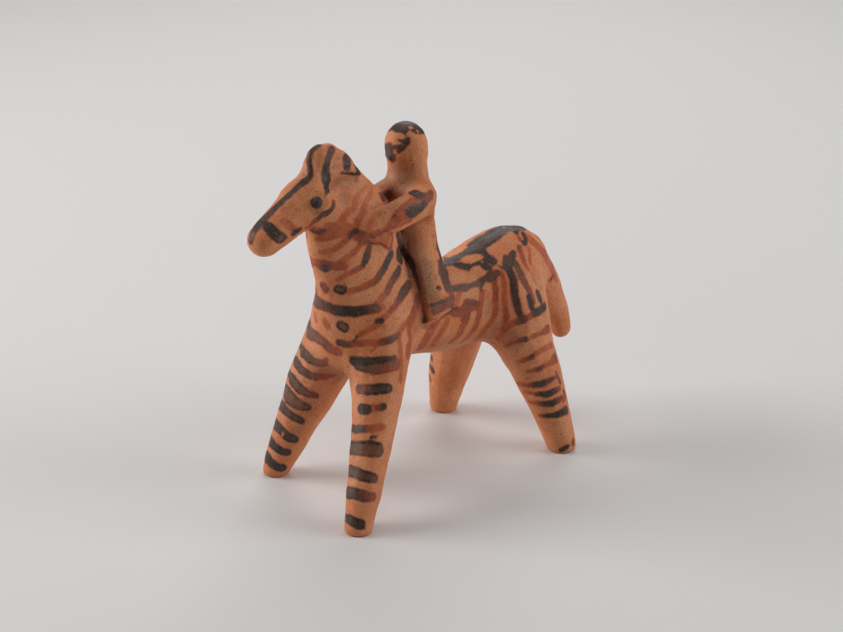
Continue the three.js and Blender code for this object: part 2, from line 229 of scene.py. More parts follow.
SHIN_PATCHES = [
    Patch("leg bar 8", 1.0, [
        (345, 513), (352, 514.7), (358, 518), (365.3, 521.5), (365.5, 529.5), (358.5, 529.5), (350, 526),
        (345.5, 522.5)]),
]

FRONT_RIGHT_LEG = [
    Stroke("leg bar 1", (8, 8.5, 8), (0.75, 0.6, 0.55), [(308, 332), (318, 338), (326, 344)], 0.6),
    Stroke("leg bar 1 end", (8, 10, 9), (0.55, 0.45, 0.4), [(326, 345), (333, 350), (339, 352)], 0.3),
    Stroke("leg bar 2", (7, 8, 7.5, 5), (0.85, 0.8, 0.6, 0.5), [
        (302, 351), (308, 357), (315, 362), (323.6, 362.5), (327, 358.6)], 0.5),
    Stroke("leg bar 3", (6.5, 8, 8, 4), (0.85, 0.75, 0.45, 0.4), [
        (296, 362), (302, 370), (312, 376), (323.6, 376.6), (333.5, 375.2)], 0.5),
    Stroke("leg bar 4", (7.5, 10, 9, 5), (0.9, 0.85, 0.6, 0.6), [
        (290.7, 378), (297, 386), (306.4, 393), (316, 395.5)], 0.9),
    Stroke("leg bar 5", (8, 12, 11, 7), (0.9, 0.8, 0.6, 0.85), [
        (285, 390), (291, 399), (299.3, 405), (307.5, 407.5)], 1),
    Stroke("leg bar 6", (6.5, 8, 8, 7), (0.9, 0.85, 0.85, 1), [
        (280.5, 404.5), (287, 412), (294, 417), (301, 420.7)], 0.3),
    Stroke("leg bar 7", (7.5, 9, 8.5), (0.9, 0.95, 0.95), [
        (275.5, 424), (282, 431.4), (288, 437), (294, 439)], 0.2),
    Stroke("leg bar 8", (7, 8, 7), (0.95, 1), [(270.5, 441), (276.4, 448), (283.6, 452), (287.5, 452.5)]),
    Stroke("leg bar 9", (8, 9, 8), 1, [(267, 457.5), (272, 463.5), (277, 467), (282, 468)]),
]

HIND_LEFT_LEG = [
    Stroke("thigh bar 1", (7, 5, 4.5), (0.5, 0.35, 0.35), [(548.5, 328.5), (540, 333.5), (531, 337)]),
    Stroke("thigh bar 1 inner", (6, 5, 3.5), (0.82, 0.5, 0.3), [(526, 339), (515, 342), (504, 346.5)]),
    Stroke("thigh bar 2", (5, 5, 5.5), 0.33, [(552, 344.5), (544, 349), (535, 354)]),
    Stroke("thigh bar 2 inner", (5.5, 5, 3), (0.72, 0.45, 0.25), [(532, 356.5), (526, 359.5), (518, 362.5)]),
    Stroke("thigh bar 3", (8, 5, 5), (0.5, 0.35, 0.4), [(555.5, 358), (550, 363), (543, 366.5)]),
    Stroke("thigh bar 3 inner", (5, 5, 3), (0.68, 0.45, 0.3), [(541, 368), (536, 370), (528, 371.5)]),
    Stroke("shin bar 4", (4, 6.5, 7, 4.5, 3.5), (0.5, 0.8, 0.9, 0.4, 0.35), [
        (555, 377.5), (549, 380.5), (542, 383.5), (534, 385), (526, 385.3), (518, 384)]),
    Stroke("shin bar 5", (5, 7, 4.5, 2.6), (0.5, 0.95, 0.9, 0.4, 0.3), [
        (559.5, 388.5), (551, 393), (545, 394.5), (534, 393.5), (524, 392)]),
    Stroke("shin bar 6", (5, 7, 6, 2.6), (0.5, 0.95, 0.95, 0.4, 0.3), [
        (562, 397.5), (553, 403), (546, 404), (538, 403.5), (529, 402)]),
    Stroke("shin bar 7", (8, 6.5, 4.5, 2.2), (0.8, 1, 0.95, 0.4), [
        (566, 410.5), (559, 414), (550, 416), (541, 415.8), (538, 414.8)]),
    Stroke("shin edge", (2, 2.8), (0.5, 0.7), [(555.5, 371.5), (558, 377), (560.5, 383)]),
    Stroke("shin edge low", (2.6, 2.2), (0.75, 0.5), [(563.5, 390.5), (565.2, 396), (563.5, 401)]),
]

FOOT_SPOT = [
    Stroke("foot spot", (4, 5.5, 5), 1, [(561, 450), (564.5, 448.5), (567, 446.5)]),
    Stroke("foot edge mark", 2.6, 0.75, [(573, 440), (573.2, 444.5)]),
]

HIND_RIGHT_LEG = [
    Stroke("hind right bar 1", (3, 4), 0.8, [(429.5, 354), (432, 358.5)]),
    Stroke("hind right bar 2", (3, 4.5), 0.85, [(429.8, 365.5), (432.5, 370.5)]),
    Stroke("hind right bar 3", 2.6, 0.6, [(430, 376), (430.6, 380)]),
]

BACK = [
    Stroke("croup trail", (2.5, 3.5, 3), 0.9, [(520.5, 230), (523.5, 234), (524.5, 238)]),
    Stroke("croup trail left", (2, 3), 0.45, [(518, 233), (519, 238), (521.5, 241)]),
]

BACK_PATCHES = [
    Patch("spine", 1.0, [
        (442.4, 257.2), (449.3, 257.4), (456.4, 254.6), (461, 252.2), (465.7, 248.9), (467.3, 247.1),
        (465.3, 245.4), (475, 238.6), (486.4, 231.7), (497.9, 226), (504.3, 222), (513.6, 221), (520.7, 223),
        (527.5, 229), (524.3, 231), (520.7, 229.5), (517.9, 234.3), (515.7, 235), (512.4, 231.7),
        (507.1, 232.6), (501.4, 237.4), (493.6, 243.6), (485.3, 249.3), (488.1, 253.6), (493.6, 256.4),
        (497.6, 260), (497.3, 262.6), (493.9, 266), (487.9, 263.6), (483.9, 258.9), (483.3, 256.4),
        (480.7, 254.6), (477.1, 253.1), (470.7, 254), (465, 256.4), (458.6, 260.7), (452.1, 262.3),
        (444.3, 263.1), (441.8, 260.7)]),
    Patch("second line", 0.92, [
        (443.6, 259.7), (450, 262.2), (457.9, 262.4), (466.4, 263.1), (472.1, 263.3), (477.9, 261.1),
        (482.4, 258.3), (484.3, 259.3), (487.9, 263), (493, 266), (492.1, 269), (491, 270.6), (486.4, 270.6),
        (482.9, 268.3), (479.3, 265), (475, 266), (471.4, 267.9), (468.6, 271.4), (463.6, 270.3),
        (457.9, 268.3), (452.1, 265.9), (445.3, 266.8), (443.3, 264.3)]),
    Patch("grey patch", 0.85, [
        (502.4, 255), (505.7, 254), (508.6, 255.4), (509.3, 251.4), (512.1, 249.8), (515.7, 251.4),
        (515.7, 256.4), (515, 261.4), (513.6, 265.7), (511.4, 268.6), (509.3, 271.4), (505, 270.7),
        (500.7, 269), (497.6, 266.4), (502.1, 264.3), (502.9, 258.6)]),
    Patch("croup dab", 0.92, [
        (521.9, 241.4), (524.3, 237.9), (525.3, 235.7), (527.1, 237.9), (528.1, 242.1), (527.1, 245.7),
        (524.3, 246.4), (522.1, 244.3)]),
    Patch("saddle band", 0.7, [
        (448.5, 285.7), (456.4, 284), (465, 283.6), (472.1, 282.9), (477.1, 280), (483.6, 275.7),
        (487.9, 272.1), (493.6, 270), (497.1, 268.6), (500.5, 270.5), (501, 274.3), (497.1, 277.9),
        (493.6, 281.4), (489.3, 282.9), (486.4, 281.4), (484.3, 284.3), (482.4, 288.6), (481.4, 293.5),
        (479.6, 291.4), (478.6, 287.1), (475, 287.1), (469.3, 289.7), (466.4, 292.6), (460.7, 292.1),
        (456.4, 291.4), (451.4, 292.6), (446.4, 291.4), (446, 289.3)]),
    Patch("seat stripe", 0.75, [
        (441, 257.1), (445, 262.9), (446.7, 267.1), (448.2, 271.4), (449.4, 280), (451.5, 285.7),
        (450.5, 292.5), (446, 292.5), (443, 285.7), (441.2, 280), (439, 274.3), (438, 267.1),
        (437.5, 260)]),
    Patch("flank mottle", 0.46, [
        (451.4, 312.9), (456.4, 308.6), (461.4, 305.7), (463.6, 300), (468.6, 297.9), (475, 299.3),
        (480.4, 302.1), (480.7, 306.4), (476.4, 310), (470.7, 312.1), (467.1, 318.6), (463.6, 322.9),
        (460, 321.4), (460.7, 317.1), (453.6, 317.9), (451, 316.4)]),
]

FLANK = [
    Stroke("flank mottle middle", 6, 0.6, [(468, 303), (476, 304)]),
    Stroke("flank stripe 1", (5.5, 4.5), 0.3, [(459.3, 293.6), (457.9, 298.6), (455.5, 306)]),
    Stroke("flank stripe 2", (5, 5.5), (0.28, 0.35), [(448, 320), (443.6, 328.6), (438, 337), (432.5, 345.5)]),
    Stroke("flank stripe 3", (6.5, 8.5, 6.5), (0.36, 0.32, 0.38), [
        (437, 320.5), (430.7, 331.4), (425, 340), (421, 348)]),
    Stroke("flank stripe 4", (7, 6, 4.5), (0.48, 0.36, 0.32), [
        (467.5, 312), (466.4, 318.6), (462, 328.6), (458, 336), (450, 342.5)]),
    Stroke("flank stripe 5", (5.5, 5.5, 3.5), (0.34, 0.35, 0.3), [
        (482, 291.4), (480.7, 303), (479.3, 313), (476.4, 324.3), (470.7, 334.3), (462, 342)]),
    Stroke("flank stripe 6", (6.5, 6, 4.5, 3.5), (0.48, 0.35, 0.3, 0.28), [
        (493.6, 279.4), (495.5, 290), (495.5, 302), (495, 313), (491, 322), (483.6, 331.4), (475, 341)]),
    Stroke("flank stripe 7", (5, 5.5, 6, 6.5), (0.42, 0.3, 0.36, 0.33), [
        (502, 272.3), (504, 285), (504.5, 300), (506.4, 315), (505.5, 325), (501, 334.5), (497.5, 339)]),
    Stroke("thigh band", (5.5, 6.5, 8, 6.5, 8.5, 6), (0.36, 0.33, 0.75, 0.42, 0.95, 0.85), [
        (505, 330), (513, 323.5), (523, 320), (532.3, 315), (539.3, 311), (545, 306)]),
]

HAUNCH = [
    Stroke("haunch stripe 1", (8, 8.5, 8, 7), (0.82, 0.85, 0.85, 0.7), [
        (509.3, 268.6), (513.6, 281.4), (515, 297), (518, 308.6), (520.7, 318.6)]),
    Stroke("haunch stripe 2", (6.5, 7, 6, 4.5), (0.75, 0.62, 0.52, 0.4), [
        (514.5, 262), (520.7, 274.3), (526.4, 285.7), (531, 294), (533.5, 302)]),
    Stroke("haunch stripe 3", (5.5, 6, 5), 0.95, [(529, 297), (530.7, 304), (532.5, 309.5)]),
    Stroke("haunch stripe 4", (4.5, 4.5, 3), (0.55, 0.45, 0.35), [
        (519, 247),(522, 257), (525, 264), (528, 268.6)]),
    Stroke("haunch stripe 5", 3, (0.33, 0.28), [(528.6, 249), (529.6, 256), (530, 263)]),
    Stroke("haunch stripe 6", (4, 4.5, 3.5), (0.85, 0.9, 0.75), [(537.5, 292), (539.3, 297), (541, 302)]),
]

TAIL = [
    Stroke("tail stripe", (6, 8.5, 7.5, 4), (0.3, 0.32, 0.28, 0.3), [
        (529.3, 238), (539.3, 247), (546.4, 258), (552.6, 269.4), (556, 279)]),
    Stroke("tail dash", 2, 0.6, [(550, 280.5), (553.4, 275)]),
]

RIDER = [
    Stroke("arm dab", 8, 0.82, [(414.5, 192.5), (418, 194.5)]),
    Stroke("arm speck", 3, 0.75, [(393, 217), (395, 216)]),
    Stroke("arm lower edge", (4, 6, 7), (0.35, 0.38, 0.36), [
        (411, 220), (400, 224), (390, 228), (380, 232.2), (371, 236)]),
    Stroke("back edge", (3.5, 3), (0.8, 0.7, 0.5), [(433, 183), (436, 192), (437.5, 205), (437, 215)]),
    Stroke("back edge low", (2, 3, 5), (0.5, 0.7, 0.75), [(436.5, 236), (438, 247), (441, 257)]),
    Stroke("shoe rim", (3.5, 4, 4, 3.5), (0.95, 0.85, 0.75, 0.6), [
        (430.5, 305), (437, 303), (444, 300.5), (450, 298)]),
    Stroke("heel stripe", (5, 4.5), (0.55, 0.5), [(450.5, 291), (452.5, 299), (451.5, 307)]),
    # Painted shadow: a thin dark line under the shoe's sole
    Stroke("sole line", 2, 0.8, [(441, 317.8), (449, 312), (456, 308)]),
    # Painted shade: a black dot in the pit on the rider's calf
    Stroke("calf pit", 6, 1, [(438.3, 288)]),
]

RIDER_PATCHES = [
    Patch("forearm", 0.4, [
        (411, 197), (417, 197.5), (424, 200), (429, 199), (427, 206), (421, 212), (413, 218), (404, 220.5),
        (396, 224), (389, 227.5), (386, 226), (389, 220), (393, 214), (398, 208), (404, 203)]),
    Patch("shoulder smear", 0.56, [
        (419, 190.5), (425, 192.5), (431.5, 189), (434.3, 193.5), (432.5, 200), (427.5, 204), (421, 202),
        (418.5, 197.5)]),
    Patch("arm patch", 0.85, [
        (405, 212.5), (408, 207.5), (413, 204), (419, 203.3), (424.5, 200.5), (427, 202), (426, 207.5),
        (422, 212), (416, 216.5), (410, 217.5), (406, 216)]),
    Patch("shoe", 0.55, [
        (430, 302.5), (436.4, 301), (442.1, 299.5), (447.9, 297.5), (452.5, 297.5), (454, 303),
        (452, 307.5), (447, 309.3), (442.5, 312), (438, 315), (433.5, 316),
        (430.3, 313), (431.5, 308.5), (429.3, 305)], 0.4),
    # Painted shade: a dark patch over the shadowed hollow between the arms
    Patch("hole between the arms", 0.62, [
        (378, 192.4), (385.7, 190), (390, 189.5), (394.5, 194.5), (392.5, 197.7), (383, 202), (380, 197)]),
]

FACE_PATCHES = [
    Patch("cap", 0.97, [
        (386, 131), (389, 125), (394, 119), (404, 117), (415, 119), (423, 126), (425.5, 133), (421, 135),
        (415, 133), (409.5, 130.5), (405.5, 129.8), (401, 131.8), (396.7, 132.6), (391.7, 130.3),
        (388, 131.5)]),
    Patch("brow", 0.92, [
        (397.5, 138.5), (401, 139.8), (405, 139), (405.7, 137), (410.2, 136.8), (411, 140), (409, 144.7),
        (406, 147.5), (402.5, 145.8), (401.5, 142), (398.5, 141)]),
    Patch("face", 0.86, [
        (384, 149.5), (384.6, 144.5), (388.5, 142.5), (391.5, 142.8), (393, 145), (400, 144.7), (405, 144.5),
        (407, 147), (403, 152), (398, 154), (396.5, 150.5), (393.5, 149.5), (392.8, 153.5), (389, 156.5),
        (385.3, 155.5)]),
    Patch("chin", 0.88, [(385.5, 156), (391, 153.5), (396, 154), (396, 161.3), (392.5, 163), (388.4, 160.8)]),
]

# Where the paint is chipped off, by pixel and radius in pixels
CHIPS = {
    "cap": [(410, 127.3, 1.5), (412, 127.8, 1), (417.7, 131.2, 1.2)],
    "right leg bar 7": [(283.3, 433, 0.8), (282.6, 435, 1.0), (282.2, 437, 0.8)],
    "thigh bar": [(528.5, 338.2, 1.0), (531, 336.5, 0.8)],
    "cross stroke": [(501.5, 265, 1.3), (482.5, 262, 0.8)],
    "spine": [(503.6, 227.6, 0.7), (520.5, 231.5, 0.8)],
    "nose": [(394.3, 150.5, 1.6)],
}

# Creases, folds and thumb marks pressed into the clay; a depth under zero is a ridge
GROOVES = [
    Groove("crest hollow", 8, 0.9, [(330, 187), (338, 182.5), (347, 179.5), (356, 178)]),
    Groove("crest hollow low", 15, 0.4, [(338, 190), (343, 199)]),
    Groove("crest ledge", 5, -0.35, [(334, 172), (345, 170.5), (357, 170.5)]),
    Groove("crest valley", 8, 0.35, [(338, 149), (336, 160), (334, 168)]),
    Groove("crest rim", 9, (-0.9, -0.8, -0.15, -0.3, -0.6, -0.8, -0.5), [
        (312.5, 153), (317, 149), (325, 147.5), (333, 149.5), (342, 153.5), (349, 160), (352, 165)]),
    Groove("crest front hollow", 6, 0.35, [(317, 155), (317, 166)]),
    Groove("crest foot", 9, 0.9, [(303.4, 167), (302.8, 171.5)]),
    Groove("forehead", 9, -0.45, [(298, 180), (290, 185), (284, 191)]),
    Groove("cheek rim", 3, -0.28, [(325, 194.5), (328.3, 199), (327.8, 205), (323.5, 210.5), (316, 216.5)]),
    Groove("behind the cheek", 4, 0.5, [
        (330, 194.5),(332.3, 200), (332, 206), (327, 213), (319.5, 219.5), (311, 226)]),
    Groove("eye pellet", 7, -0.6, [(318.2, 203.3)]),
    Groove("cheek thumb mark", 20, 0.35, [(300, 206), (288, 216)]),
    Groove("flap outline", 2.6, 0.45, [
        (369, 242.5),(374, 244.8), (382, 245.8), (388.5, 250), (392.3, 245), (393, 236)]),
    Groove("flap", 8, -0.35, [(376, 239), (387, 241)]),
    Groove("under the arm", 3, 0.35, [(372, 238.5), (381, 235.5), (391, 231.5)]),
    Groove("arm hollow", 7, 0.35, [(392, 212), (380, 218)]),
    Groove("sole edge", 3.4, -0.6, [(428, 321.5), (434, 318.5), (440, 314.5), (447, 310.5), (454, 307)]),
    Groove("shoe underside", 3, 0.9, [
        (424.5, 327.5),(429, 328), (434, 324.5), (440, 320), (448, 314.5), (456, 310)]),
    Groove("shoe top", 2.6, 0.35, [(430, 301.5), (438, 300), (446, 296.5)]),
    Groove("nose bridge", 4, 0.35, [(384.5, 151), (388, 151.5)]),
    Groove("nose stump", 4.5, -0.45, [(386.5, 155.5), (390, 157.5)]),
    Groove("hind right notch", 4, 0.35, [(463.5, 383), (462.5, 387)]),
    Groove("chest crease", 2, 0.15, [(338, 341), (350, 344), (360, 345)]),
    Groove("loin thumb mark", 18, 0.3, [(455, 275), (475, 272)]),
    Groove("haunch thumb mark", 18, 0.25, [(528, 275), (535, 300)]),
    Groove("tail root valley", 6, 0.3, [(530, 252), (532, 270), (538, 288)]),
    Groove("under the elbow", 8, -0.8, [(432, 208), (431.5, 213), (431.5, 218)]),
    Groove("rider's lower back", 8, 0.5, [(434.5, 238), (436, 248)]),
    Groove("back line", 11, 0.6, [(455, 249.5), (467, 243.5), (478, 236.5), (488, 231)]),
]

# Deep gaps, which are pressed before the skin is meshed for the last time
DEEP_GROOVES = [
    Groove("between the rider and the neck", (5.5, 7, 7.5, 7, 5.5, 4, 3.5, 4, 4), (
        1.6, 2.6, 2.8, 2.6, 1.8, 1.2, 1.4, 1.8), RIDER_GAP),
]

# Small holes in the clay
PITS = [
    Groove("rider's calf", 2.6, 1.6, [(438.3, 288)]),
    Groove("front leg", 1.7, 0.4, [(373.5, 437)]),
    Groove("shoulder", 1.5, 0.4, [(367.5, 320.5)]),
    Groove("hind leg", 1.5, 0.4, [(508, 358.5)]),
    Groove("chest", 1.4, 0.4, [(383, 326)]),
    Groove("inner thigh", 1.9, 0.4, [(505, 330)]),
    Groove("inner thigh 2", 1.5, 0.4, [(496, 333.5)]),
]

# Brown rubbed into sheltered places: painted shade where the clay is shut in, with some real grime
SHELTER_SHADE_AND_GRIME = [
    SoftTint("rider's chest", 26, 0.65, [(402, 172), (400, 188)]),
    SoftTint("rider's belly", 30, 0.45, [(404, 236), (412, 262)]),
    SoftTint("rider's shin", 24, 1.0, [(419, 268), (426, 286), (429, 300)]),
    # Painted shade: the shadowed hollow between the arms
    SoftTint("between the arms", 14, 1.0, [(386, 196), (392, 192)]),
    SoftTint("near arm", 12, 0.35, [(392, 208), (378, 216)]),
    SoftTint("front of the shoe", 14, 0.6, [(418, 318), (414, 328)]),
    SoftTint("inner right leg", 22, 0.65, [(322, 366), (338, 372)]),
    SoftTint("inner right leg low", 22, 0.35, [(312, 400), (300, 430)]),
    SoftTint("groin", 22, 0.6, [(500, 332), (512, 340)]),
    SoftTint("belly edge", 12, 0.4, [(420, 349), (450, 342), (480, 336)]),
    # Painted shade under the crest's ledge
    SoftTint("crest hollow", 14, 0.25, [(332, 187), (345, 181)]),
    SoftTint("crest", 30, 0.15, [(320, 160), (342, 166)]),
    SoftTint("behind the shin", 12, 0.4, [(445, 268), (448, 290)]),
]

# Pale bloom on the rider, over the painted shade and grime; on the belly it is also painted light that lifts the
# deep shade there
BLOOMS_AND_LIGHT = [
    SoftTint("rider's belly", 28, 1.0, [(400, 232), (405, 248), (411, 260)]),
    SoftTint("rider's chest", 22, 0.45, [(398, 176), (404, 186)]),
    SoftTint("rider's shin", 14, 0.25, [(424, 272), (428, 286)]),
]

# Which specks in the sheltered places turn dark, and how large they are
SPECKS_A_MM = 1.3
SPECK_CHANCE = 0.05
SPECK_CHANCE_IN_SHADE_AND_GRIME = 0.6

# The legs' middle lines, hip to foot, and how far out a leg's skin can be
LEG_LINES = {
    "front_left": ((8.3, -24.8, 45.5), (23.2, -47.0, -2.0)),
    "front_right": ((-9.5, -25.8, 43.0), (-23.3, -39.0, -2.0)),
    "hind_left": ((8.5, 27.8, 45.0), (24.2, 35.4, -2.0)),
    "hind_right": ((-9.1, 25.8, 45.0), (-23.9, 30.8, -2.0)),
}
LEG_REACH = 12.5


def view_axes():
    """The photograph's right, up and back directions in the row frame."""
    azimuth = math.radians(CAMERA_AZIMUTH)
    elevation = math.radians(CAMERA_ELEVATION)
    flat = math.cos(elevation)
    back = np.array([math.sin(azimuth) * flat, -math.cos(azimuth) * flat, math.sin(elevation)])
    right = np.array([math.cos(azimuth), math.sin(azimuth), 0])
    return right, np.cross(back, right), back


RIGHT, UP, BACK_WARDS = view_axes()
EYE = np.array(CAMERA_PLACE)


def unit(vector):
    return vector / np.linalg.norm(vector)


class Clay:
    """The clay's skin as arrays in millimetres, with the rays that find places on it."""

    def __init__(self, mesh):
        count = len(mesh.vertices)
        flat = np.empty(count * 3)
        mesh.vertices.foreach_get("co", flat)
        self.points = flat.reshape(-1, 3) / MM
        edges = np.empty(len(mesh.edges) * 2, int)
        mesh.edges.foreach_get("vertices", edges)
        self.ends = edges.reshape(-1, 2).T
        self.neighbours = np.bincount(self.ends.ravel(), minlength=count)[:, None]
        self.faces = [tuple(face.vertices) for face in mesh.polygons]
        self.mesh = mesh
        self.refresh()

    def refresh(self):
        """Writes the points back to the mesh, and finds the normals and the ray tree again."""
        self.mesh.vertices.foreach_set("co", (self.points * MM).ravel())
        self.mesh.update()
        flat = np.empty(self.points.size)
        self.mesh.vertices.foreach_get("normal", flat)
        self.normals = flat.reshape(-1, 3)
        self.tree = BVHTree.FromPolygons(self.points.tolist(), self.faces)

    def averaged(self, values):
        """Each vertex's mean over its neighbours."""
        first, second = self.ends
        count = len(values)
        columns = [
            np.bincount(first, column[second], count) + np.bincount(second, column[first], count)
            for column in values.reshape(count, -1).T
        ]
        return np.stack(columns, 1) / self.neighbours

    def soften(self, rounds):
        """Rounds off the facets and keeps the volume."""
        for _ in range(rounds):
            for step in (SOFTEN_OUT, SOFTEN_BACK):
                self.points += step * (self.averaged(self.points) - self.points)
        self.refresh()

    def hollowness(self, rounds):
        """How far each vertex lies below its smoothed surroundings, in mm; under zero on ridges."""
        smooth = self.points.copy()
        for _ in range(rounds):
            smooth += 0.6 * (self.averaged(smooth) - smooth)
        return ((smooth - self.points) * self.normals).sum(1)

    def hit(self, start, direction):
        place, normal, _, _ = self.tree.ray_cast(Vector(start), Vector(direction))
        if place is None:
            return None
        return np.array(place), np.array(normal)

    def at_pixel(self, pixel, side=1):
        """The place on the skin that shows at a pixel, or on the other side in the mirrored photograph."""
        flip = np.array([side, 1, 1])
        across = (pixel[0] - PHOTO_WIDTH / 2) / FOCAL_PIXELS
        down = (pixel[1] - PHOTO_HEIGHT / 2) / FOCAL_PIXELS
        found = self.hit(EYE * flip, unit(RIGHT * across - UP * down - BACK_WARDS) * flip)
        if found is None:
            return None
        place, normal = found
        depth = -(place * flip - EYE) @ BACK_WARDS
        return place, normal, depth / FOCAL_PIXELS

    def seen(self, place, normal):
        """Whether the photograph's camera sees this place."""
        towards = unit(EYE - place)
        if normal @ towards < SEEN_SLANT:
            return False
        return self.hit(place + normal * CLEARANCE, towards) is None


def along(points, step=STROKE_STEP):
    """Evenly spaced points on a smooth curve through the given ones, and how far along each is."""
    points = np.array(points, float)
    if len(points) == 1:
        points = np.vstack([points, points + 0.01])
    padded = np.vstack([2 * points[0] - points[1], points, 2 * points[-1] - points[-2]])
    pieces = []
    for before, start, end, after in zip(padded, padded[1:], padded[2:], padded[3:]):
        count = max(2, math.ceil(np.linalg.norm(end - start) / step))
        share = (np.arange(count) / count)[:, None]
        bend = 2 * before - 5 * start + 4 * end - after
        twist = 3 * start - before - 3 * end + after
        pieces.append(start + 0.5 * ((end - before) * share + bend * share**2 + twist * share**3))
    track = np.vstack([*pieces, points[-1:]])
    travel = np.concatenate([[0], np.cumsum(np.linalg.norm(np.diff(track, axis=0), axis=1))])
    return track, travel / travel[-1]


def spread(values, share):
    """Values, given evenly spaced from one end to the other, at each share of the way."""
    values = np.atleast_1d(values).astype(float)
    return np.interp(share, np.linspace(0, 1, len(values)), values)


class Track:
    """A line of places on the skin, with the brush's radius and tone at each."""

    def __init__(self):
        self.places, self.normals, self.radii, self.tones = [], [], [], []

    def add(self, place, normal, radius, tone):
        self.places.append(place)
        self.normals.append(normal)
        self.radii.append(radius)
        self.tones.append(tone)

    def near(self, clay, reach):
        """Vertices near the track: how far outside its edge, how far from its middle, and the tone there."""
        places = np.array(self.places)
        normals = np.array(self.normals)
        radii = np.array(self.radii)
        tones = np.array(self.tones)
        room = radii.max() + reach
        inside = ((clay.points > places.min(0) - room) & (clay.points < places.max(0) + room)).all(1)
        chosen = np.flatnonzero(inside)
        best_edge = np.full(len(chosen), 1e3)
        best_distance = np.full(len(chosen), 1e3)
        best_tone = np.zeros(len(chosen))
        spots = clay.points[chosen]
        facing = clay.normals[chosen]
        for k in range(max(1, len(places) - 1)):
            start = places[k]
            end = places[min(k + 1, len(places) - 1)]
            stretch = end - start
            if np.linalg.norm(stretch) > TRACK_JUMP:
                continue
            share = np.clip((spots - start) @ stretch / (stretch @ stretch + 1e-9), 0, 1)
            distance = np.linalg.norm(spots - start - share[:, None] * stretch, axis=1)
            nearest_radius = radii[k] + share * (radii[min(k + 1, len(radii) - 1)] - radii[k])
            nearest_tone = tones[k] + share * (tones[min(k + 1, len(tones) - 1)] - tones[k])
            edge = distance - nearest_radius
            better = (edge < best_edge) & (facing @ normals[k] > FACING_LIMIT)
            best_edge[better] = edge[better]
            best_distance[better] = distance[better] / nearest_radius[better]
            best_tone[better] = nearest_tone[better]
        near = best_edge < reach
        return chosen[near], best_edge[near], best_distance[near], best_tone[near]


def trace(clay, points, width, tone, side=1, hidden_only=False, slant_limit=SLANT_LIMIT):
    """The track of a stroke drawn on the photograph, or in its mirror image on the far side."""
    track, share = along(points)
    widths = spread(width, share)
    tones = spread(tone, share)
    heading = np.gradient(track, axis=0)
    heading /= np.linalg.norm(heading, axis=1)[:, None] + 1e-9
    sideways = np.stack([-heading[:, 1], heading[:, 0]], 1)
    made = Track()
    for pixel, across, pixels_wide, shade in zip(track, sideways, widths, tones):
        found = clay.at_pixel(pixel, side)
        if found is None:
            continue
        place, normal, scale = found
        if hidden_only and clay.seen(place, normal):
            continue
        flat = pixels_wide * scale / 2
        edges = [clay.at_pixel(pixel + across * pixels_wide / 2 * way, side) for way in (1, -1)]
        reaches = [np.linalg.norm(edge[0] - place) for edge in edges if edge is not None]
        made.add(place, normal, np.clip(min(reaches, default=flat), flat, flat * slant_limit), shade)
    return made


class Paint:
    """The slip on each vertex: mm outside the nearest stroke's edge, its tone, and how much it pools."""

    def __init__(self, count):
        self.edge = np.full(count, FAR_OUTSIDE)
        self.tone = np.zeros(count)
        self.pool = np.zeros(count)

    def lay(self, where, edge, tone, pool):
        """Puts one stroke on. Where it overlaps slip that is there already, the darker tone shows."""
        old_edge = self.edge[where]
        both = (edge < 0) & (old_edge < 0)
        wins = edge < old_edge
        self.pool[where] = np.where(wins, pool, self.pool[where])
        mixed = np.where(wins, tone, self.tone[where])
        self.tone[where] = np.where(both, np.maximum(tone, self.tone[where]), mixed)
        self.edge[where] = np.minimum(edge, old_edge)

    def brush(self, clay, stroke, side=1, hidden_only=False):
        track = trace(clay, stroke.points, stroke.width, stroke.tone, side, hidden_only)
        if track.places:
            self.follow(clay, track, stroke.pool)

    def follow(self, clay, track, pool=0.0):
        where, edge, _, tone = track.near(clay, EDGE_REACH)
        self.lay(where, edge, tone, pool)

    def fill(self, clay, patch, side=1):
        """Fills a patch given by its outline on the photograph, on the skin that shows there."""
        outline = np.array(patch.points, float)
        flip = np.array([side, 1, 1])
        offset = clay.points * flip - EYE
        depth = -(offset @ BACK_WARDS)
        pixels = np.stack([
            PHOTO_WIDTH / 2 + FOCAL_PIXELS * (offset @ RIGHT) / depth,
            PHOTO_HEIGHT / 2 - FOCAL_PIXELS * (offset @ UP) / depth,
        ], 1)
        margin = EDGE_REACH * FOCAL_PIXELS / depth.mean()
        boxed = ((pixels > outline.min(0) - margin) & (pixels < outline.max(0) + margin)).all(1)
        towards = -offset * flip
        facing = (clay.normals * towards).sum(1) > 0
        chosen = np.flatnonzero(boxed & facing)
        shown = [index for index in chosen if self.shows(clay, index, flip)]
        where = np.array(shown, int)
        inside = np.zeros(len(where), bool)
        distance = np.full(len(where), 1e3)
        spots = pixels[where]
        for start, end in zip(outline, np.roll(outline, -1, 0)):
            stretch = end - start
            share = np.clip((spots - start) @ stretch / (stretch @ stretch), 0, 1)
            distance = np.minimum(distance, np.linalg.norm(spots - start - share[:, None] * stretch, axis=1))
            crosses = (start[1] > spots[:, 1]) != (end[1] > spots[:, 1])
            height = np.where(stretch[1] == 0, 1, stretch[1])
            crossing = start[0] + (spots[:, 1] - start[1]) / height * stretch[0]
            inside ^= crosses & (spots[:, 0] < crossing)
        edge = np.where(inside, -distance, distance) * depth[where] / FOCAL_PIXELS
        self.lay(where, edge, patch.tone, patch.pool)

    def shows(self, clay, index, flip):
        """Whether nothing stands between a vertex and the camera, or its mirror image."""
        start = clay.points[index] + clay.normals[index] * CLEARANCE
        return clay.hit(start, unit(EYE * flip - start)) is None

    def chip(self, clay, x, y, radius):
        """Bares the clay in a round spot."""
        track = trace(clay, [(x, y)], 2 * radius, 0)
        if track.places:
            where, edge, _, _ = track.near(clay, EDGE_REACH)
            self.edge[where] = np.maximum(self.edge[where], -edge)


